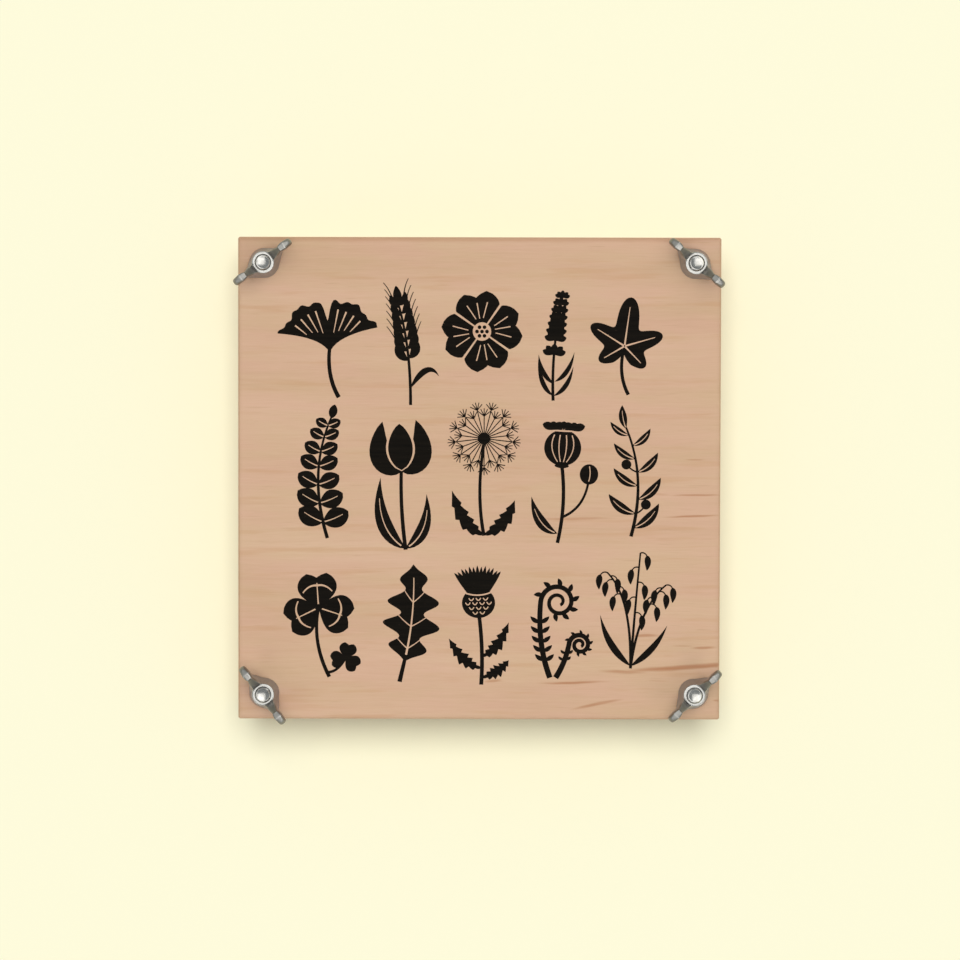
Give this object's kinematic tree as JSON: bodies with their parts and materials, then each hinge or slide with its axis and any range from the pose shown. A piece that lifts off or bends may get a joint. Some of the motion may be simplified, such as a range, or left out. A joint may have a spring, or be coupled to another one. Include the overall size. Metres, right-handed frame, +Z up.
{
  "type": "flower press",
  "caption": "Square wooden flower press: boards clamp cut-corner sheets of cardboard and blotting paper, drawn together by bolts and wing nuts at the corners.",
  "frame": {"origin": "centre of the underside of the bottom board", "axes": "+Z up along the bolts, +X to the right and +Y to the back of the printed top board"},
  "size_m": [0.2055, 0.2046, 0.061],
  "materials": {
    "maple": "satin",
    "zinc_steel": "satin",
    "corrugated_cardboard": "matte",
    "blotting_paper": "matte"
  },
  "bodies": {
    "base": {"bottom_board": "maple", "hex_bolt_front_left": "zinc_steel", "hex_bolt_front_right": "zinc_steel", "hex_bolt_back_left": "zinc_steel", "hex_bolt_back_right": "zinc_steel", "cardboard_1": "corrugated_cardboard", "blotting_paper_1": "blotting_paper"},
    "layer_2": {"blotting_paper_2": "blotting_paper", "cardboard_2": "corrugated_cardboard", "blotting_paper_3": "blotting_paper"},
    "layer_3": {"blotting_paper_4": "blotting_paper", "cardboard_3": "corrugated_cardboard", "blotting_paper_5": "blotting_paper"},
    "layer_4": {"blotting_paper_6": "blotting_paper", "cardboard_4": "corrugated_cardboard"},
    "top_board": {"top_board": "maple"},
    "wing_nut_front_left": {"wing_nut_front_left": "zinc_steel"},
    "wing_nut_front_right": {"wing_nut_front_right": "zinc_steel"},
    "wing_nut_back_left": {"wing_nut_back_left": "zinc_steel"},
    "wing_nut_back_right": {"wing_nut_back_right": "zinc_steel"}
  },
  "joints": [
    {"name": "wing_nut_front_left_turn", "type": "hinge", "parent": "top_board", "child": "wing_nut_front_left", "pos_m": [-0.0906, -0.0906, 0.0466], "axis": [0, 0, 1], "range_deg": [0, 1711.71]},
    {"name": "wing_nut_front_right_turn", "type": "hinge", "parent": "top_board", "child": "wing_nut_front_right", "pos_m": [0.0906, -0.0906, 0.0466], "axis": [0, 0, 1], "range_deg": [0, 1711.71]},
    {"name": "wing_nut_back_left_turn", "type": "hinge", "parent": "top_board", "child": "wing_nut_back_left", "pos_m": [-0.0906, 0.0906, 0.0466], "axis": [0, 0, 1], "range_deg": [0, 1711.71]},
    {"name": "wing_nut_back_right_turn", "type": "hinge", "parent": "top_board", "child": "wing_nut_back_right", "pos_m": [0.0906, 0.0906, 0.0466], "axis": [0, 0, 1], "range_deg": [0, 1711.71]},
    {"name": "top_board_lift", "type": "slide", "parent": "base", "child": "top_board", "axis": [0, 0, 1], "range_m": [0, 0.00603]},
    {"name": "layer_2_lift", "type": "slide", "parent": "base", "child": "layer_2", "axis": [0, 0, 1], "range_m": [0, 0.00201]},
    {"name": "layer_3_lift", "type": "slide", "parent": "base", "child": "layer_3", "axis": [0, 0, 1], "range_m": [0, 0.00403]},
    {"name": "layer_4_lift", "type": "slide", "parent": "base", "child": "layer_4", "axis": [0, 0, 1], "range_m": [0, 0.00604]}
  ],
  "couplings": [
    {"joint": "wing_nut_front_left_turn", "follows": "top_board_lift", "rad_per_m": 4947.4},
    {"joint": "wing_nut_front_right_turn", "follows": "top_board_lift", "rad_per_m": 4947.4},
    {"joint": "wing_nut_back_left_turn", "follows": "top_board_lift", "rad_per_m": 4947.4},
    {"joint": "wing_nut_back_right_turn", "follows": "top_board_lift", "rad_per_m": 4947.4},
    {"joint": "layer_2_lift", "follows": "top_board_lift", "ratio": 0.33333},
    {"joint": "layer_3_lift", "follows": "top_board_lift", "ratio": 0.66667},
    {"joint": "layer_4_lift", "follows": "top_board_lift", "ratio": 1}
  ]
}
